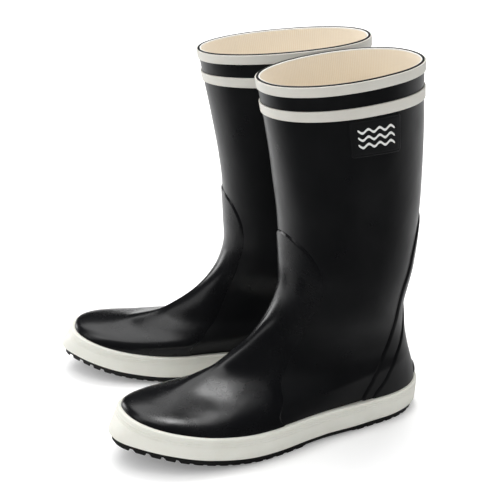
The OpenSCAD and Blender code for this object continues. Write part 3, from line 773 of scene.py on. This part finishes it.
def build_outsole(side):
    """The sole: bars across it, cut a little inside the foxing's outline."""
    t = np.linspace(179, 1, 240)

    def edge(sign):
        p = base(FOXING_BOTTOM, sign * t)
        n = flat_normal(FOXING_BOTTOM, sign * t)
        out = foxing_face(p[..., 0]) + flare(p[..., 0], n) - SOLE_SETBACK
        return p[..., :2] + n * out[..., None], lift(p[..., 0])

    outer, rise = edge(1)
    inner = edge(-1)[0]
    x = np.linspace(outer[0, 0] + 0.1, outer[-1, 0] - 0.1, 620)
    left = np.interp(x, outer[:, 0], outer[:, 1])
    right = np.interp(x, inner[:, 0], inner[:, 1])
    up = np.interp(x, outer[:, 0], rise)
    v = np.concatenate([[0, 0.004], np.linspace(0.012, 0.988, 81), [0.996, 1]])
    y = left[:, None] + (right - left)[:, None] * v
    xx = x[:, None] + 0 * y
    from_edge = np.minimum(y - y[:, :1], y[:, -1:] - y)
    rim = 1 - ramp(1.2, 2.6, from_edge)
    shallow = 1 - RIM_SHARE * rim * (1 - ramp(186, 200, xx))
    arch = ramp(62.5, 66, xx) * (1 - ramp(103, 106, xx))
    bottom = GROOVE_DEPTH * (1 - tread(x, xx, y)) * shallow + ARCH_RISE * arch
    side_round = 0.5 * (1 - np.clip(np.minimum(v, 1 - v) / 0.012, 0, 1)) ** 2
    low = np.stack([xx, y, bottom + side_round[None] + up[:, None]], -1)
    high = np.stack([xx, y, 0 * y + SOLE_TOP + up[:, None]], -1)
    points, faces = closed_sheet(high, low)
    o = piece(side, "outsole", points, faces[:, ::-1], "rubber_sole")
    edges = o.modifiers.new("edges", "EDGE_SPLIT")
    edges.split_angle = math.radians(50)


BADGE_T, BADGE_Z, BADGE_HALF_ANGLE, BADGE_HALF_HEIGHT = 88.0, 219.0, 20.0, 13.0
BADGE_CORNER, BADGE_RISE, BADGE_LINE_IN = 2.5, 1.0, 1.9
PRINT_PITCH, PRINT_HALF, PRINT_SWING, PRINT_WAVE, PRINT_REACH = 5.0, 0.85, 1.15, 8.4, 0.36


def build_badge(side):
    """A raised patch with rounded corners, and three plain wavy lines printed on it."""
    around, up = np.linspace(-1, 1, 91), np.linspace(-1, 1, 71)
    b, a = np.meshgrid(up, around, indexing="ij")
    z, t = BADGE_Z + BADGE_HALF_HEIGHT * b, BADGE_T + BADGE_HALF_ANGLE * a
    row = base(BADGE_Z, BADGE_T + BADGE_HALF_ANGLE * around)
    width = np.linalg.norm(np.diff(row, axis=0), axis=1).sum()
    # Distance inwards from the patch's rounded outline.
    qx = np.abs(a) * width / 2 - (width / 2 - BADGE_CORNER)
    qz = np.abs(b) * BADGE_HALF_HEIGHT - (BADGE_HALF_HEIGHT - BADGE_CORNER)
    inside = BADGE_CORNER - np.hypot(np.clip(qx, 0, None), np.clip(qz, 0, None))
    inside = np.where((qx < 0) & (qz < 0), BADGE_CORNER + np.minimum(-qx, -qz), inside)
    off = np.where(inside > 0, -0.1 + BADGE_RISE * soft_step(inside, 0.9), -0.3)
    groove = 0.22 * np.exp(-((inside - BADGE_LINE_IN) / 0.25) ** 2)
    points, faces = closed_sheet(surface(z, t, off - groove), surface(z, t, -0.5 + 0 * z))
    piece(side, "side_badge", points, faces, "rubber_badge",
          both_faces_uv(z, t))
    all_points, all_faces, start = [], [], 0
    reach = width * PRINT_REACH
    for i in (-1, 0, 1):
        ww, ss = np.meshgrid(np.linspace(-1, 1, 7), np.linspace(-1, 1, 121), indexing="ij")
        mm = ss * reach
        end = np.clip((np.abs(mm) - reach + PRINT_HALF) / PRINT_HALF, 0, 1)
        half = PRINT_HALF * np.sqrt(np.clip(1 - end ** 2, 0.0004, 1))
        swing = PRINT_SWING * np.sin(mm * 2 * math.pi / PRINT_WAVE)
        zz = BADGE_Z + PRINT_PITCH * i + swing + half * ww
        tt = BADGE_T + BADGE_HALF_ANGLE * mm / (width / 2)
        p, f = closed_sheet(surface(zz, tt, 1.05 - 0.06 * ww**2), surface(zz, tt, 0.7 + 0 * zz))
        all_points.append(p)
        all_faces.append(f + start)
        start += len(p)
    piece(side, "badge_print", np.vstack(all_points), np.vstack(all_faces), "white_print")


for side in ("left", "right"):
    mouth["now"] = mouth[side]
    build_leg(side)
    build_vamp(side)
    build_heel(side)
    build_spur(side)
    build_bands(side)
    build_linings(side)
    build_footbed(side)
    build_foxing(side)
    build_outsole(side)
    build_badge(side)

# Pieces that no view shows keep their CAD shape and get a material.
HIDDEN_LAYERS = {
    "inner_vamp": "rubber_vamp", "toe_puff": "stiff_cloth", "instep_stiffener": "stiff_cloth",
    "heel_stiffener": "stiff_cloth", "insole_board": "fibre_board",
    "bottom_filler": "rubber_filler",
}
for side in ("left", "right"):
    for node, material in HIDDEN_LAYERS.items():
        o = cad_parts[f"{side}_{node}"]
        o.data.materials.clear()
        o.data.materials.append(MATERIALS[material])


# ---------------------------------------------------------------- studio
def direction_to_euler(v):
    """Turn of a camera or light that looks along v."""
    return Vector(v).to_track_quat("-Z", "Y").to_euler()


def add(o):
    bpy.context.scene.collection.objects.link(o)
    return o


LOOKS_ALONG = Vector((-0.2369, -0.9019, -0.3613)).normalized()
FOCAL_LENGTH, SENSOR = 79.45, 36.0
camera = bpy.data.cameras.new("camera")
camera.sensor_width = SENSOR
camera.lens = FOCAL_LENGTH
camera.clip_end = 50.0
eye = add(bpy.data.objects.new("camera", camera))
eye.location = ((203.6 + PAIR_X) / 1000, 0.7299, 0.4072)
eye.rotation_euler = direction_to_euler(LOOKS_ALONG)
bpy.context.scene.camera = eye

# Level directions as the camera sees them.
RIGHT = Vector((-0.9672, 0.2541, 0.0))
AWAY = Vector((-0.2541, -0.9672, 0.0))


def soft_box(name, right, away, up, width, height, watts, aim=(0.0, 0.0, 0.12)):
    """An area light, placed to the right of, away from and above the boots as the camera sees."""
    light = bpy.data.lights.new(name, "AREA")
    light.shape = "RECTANGLE"
    light.size, light.size_y = width, height
    light.energy = watts
    o = add(bpy.data.objects.new(name, light))
    o.location = RIGHT * right + AWAY * away + Vector((0, 0, up))
    o.rotation_euler = direction_to_euler(Vector(aim) - o.location)


soft_box("top_box", -0.26, 0.12, 1.5, 1.1, 0.8, 8.0, aim=(0, 0, 0))
soft_box("top_spot", 0.15, 0.33, 1.5, 0.34, 0.34, 7.0)
soft_box("back_box", -0.28, 0.85, 1.15, 0.85, 0.55, 3.4)
soft_box("left_box", -0.98, -0.4, 1.05, 0.55, 1.5, 3.6)
soft_box("left_strip", -1.12, 0.8, 0.12, 0.4, 0.8, 5.0)


def by_ray(tree, for_camera, for_gloss, for_rest):
    """One strength for what the camera sees, one for reflections and one for light."""
    path = tree.nodes.new("ShaderNodeLightPath")
    gloss = tree.nodes.new("ShaderNodeMapRange")
    tree.links.new(path.outputs["Is Glossy Ray"], gloss.inputs["Value"])
    gloss.inputs["To Min"].default_value = for_rest
    gloss.inputs["To Max"].default_value = for_gloss
    seen = tree.nodes.new("ShaderNodeMapRange")
    tree.links.new(path.outputs["Is Camera Ray"], seen.inputs["Value"])
    tree.links.new(gloss.outputs["Result"], seen.inputs["To Min"])
    seen.inputs["To Max"].default_value = for_camera
    return seen.outputs["Result"]


world = bpy.data.worlds.new("studio")
world.use_nodes = True
tree = world.node_tree
tree.links.new(by_ray(tree, 1.0, 0.02, 0.72), tree.nodes["Background"].inputs["Strength"])
tree.nodes["Background"].inputs["Color"].default_value = (1, 1, 1, 1)
bpy.context.scene.world = world
bpy.context.scene.view_settings.view_transform = "Standard"

FLOOR = 6
floor_mesh = bpy.data.meshes.new("studio_floor")
floor_mesh.from_pydata([(-FLOOR, -FLOOR, 0), (FLOOR, -FLOOR, 0), (FLOOR, FLOOR, 0),
                        (-FLOOR, FLOOR, 0)], [], [(0, 1, 2, 3)])
floor = add(bpy.data.objects.new("studio_floor", floor_mesh))
paper = Nodes("studio_paper")
pale = paper.mix(paper.remap(paper.noise(3, 3, 0.5), 0.3, 0.7, 0, 1), (0.93, 0.93, 0.93),
                 (0.95, 0.95, 0.95))
# How far a point of the floor lies behind the boots; the floor in front reflects dark.
behind = paper.math("ADD", paper.math("MULTIPLY", paper.axis("Object", "X"), AWAY.x),
                    paper.math("MULTIPLY", paper.axis("Object", "Y"), AWAY.y))
unlit = paper.math("MULTIPLY", paper.remap(behind, -0.2, 0.25, 0.97, 0.1),
                   by_ray(paper.tree, 0.0, 1.0, 0.0))
paper.link(paper.mix(unlit, pale, (0.0, 0.0, 0.0)), paper.shader.inputs["Base Color"])
paper.set(Roughness=0.9, Specular_IOR_Level=0.1, Emission_Color=(1, 1, 1, 1))
glow = paper.math("MULTIPLY", paper.remap(behind, 0.1, 1.2, 0.16, 0.5),
                  by_ray(paper.tree, 1.0, 0.0, 0.0))
paper.link(glow, paper.shader.inputs["Emission Strength"])
floor_mesh.materials.append(paper.material)
